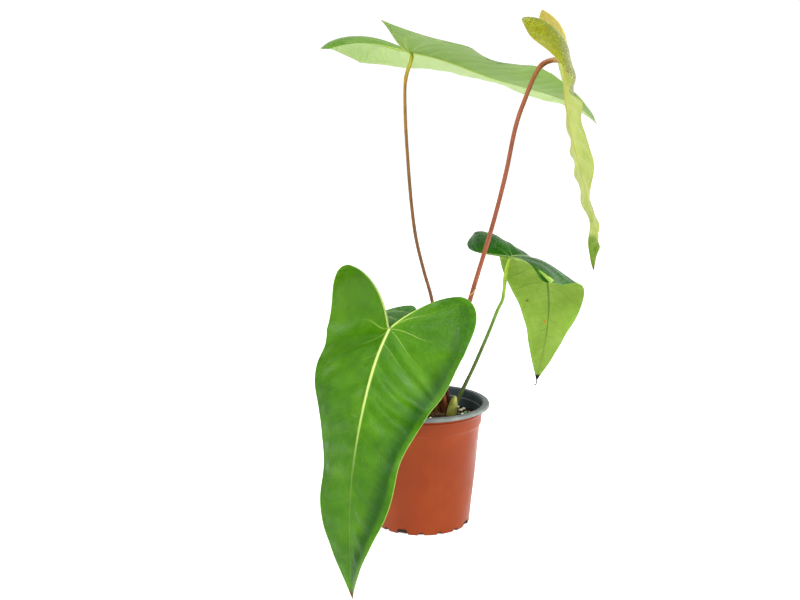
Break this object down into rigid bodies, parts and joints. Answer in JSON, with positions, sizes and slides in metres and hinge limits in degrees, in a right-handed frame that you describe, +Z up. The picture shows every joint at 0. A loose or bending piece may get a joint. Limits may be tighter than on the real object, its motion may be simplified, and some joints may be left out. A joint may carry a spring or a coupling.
{
  "type": "potted anthurium",
  "caption": "Foliage anthurium with heart-shaped leaves on long arching stalks, growing in a round plastic nursery pot.",
  "frame": {"origin": "middle of the pot's base, on the surface it stands on", "axes": "+Z up through the pot, +X to the plant's right seen from the front, -Y towards the front"},
  "size_m": [0.2795, 0.4104, 0.488],
  "materials": {
    "terracotta_plastic": "satin",
    "potting_mix": "matte",
    "stem": "matte",
    "front_blade": "satin",
    "front_stalk": "satin",
    "top_left_blade": "satin",
    "top_left_stalk": "satin",
    "top_right_blade": "satin",
    "top_right_stalk": "satin",
    "right_blade": "satin",
    "right_stalk": "satin",
    "low_blade": "satin",
    "low_stalk": "satin",
    "dry_sheath": "matte",
    "green_sheath": "matte",
    "dry_fibre": "matte",
    "perlite": "matte",
    "bark": "matte"
  },
  "bodies": {
    "root": {"pot": "terracotta_plastic", "potting_mix": "potting_mix", "crown": "stem", "front_blade": "front_blade", "front_stalk": "front_stalk", "top_left_blade": "top_left_blade", "top_left_stalk": "top_left_stalk", "top_right_blade": "top_right_blade", "top_right_stalk": "top_right_stalk", "right_blade": "right_blade", "right_stalk": "right_stalk", "low_blade": "low_blade", "low_stalk": "low_stalk", "sheath_brown": "dry_sheath", "sheath_green": "green_sheath", "dry_fibre": "dry_fibre", "perlite_1": "perlite", "perlite_2": "perlite", "perlite_3": "perlite", "perlite_4": "perlite", "perlite_5": "perlite", "perlite_6": "perlite", "perlite_7": "perlite", "perlite_8": "perlite", "perlite_9": "perlite", "bark_1": "bark", "bark_2": "bark", "bark_3": "bark", "bark_4": "bark", "bark_5": "bark", "bark_6": "bark", "bark_7": "bark", "bark_8": "bark"}
  },
  "joints": []
}
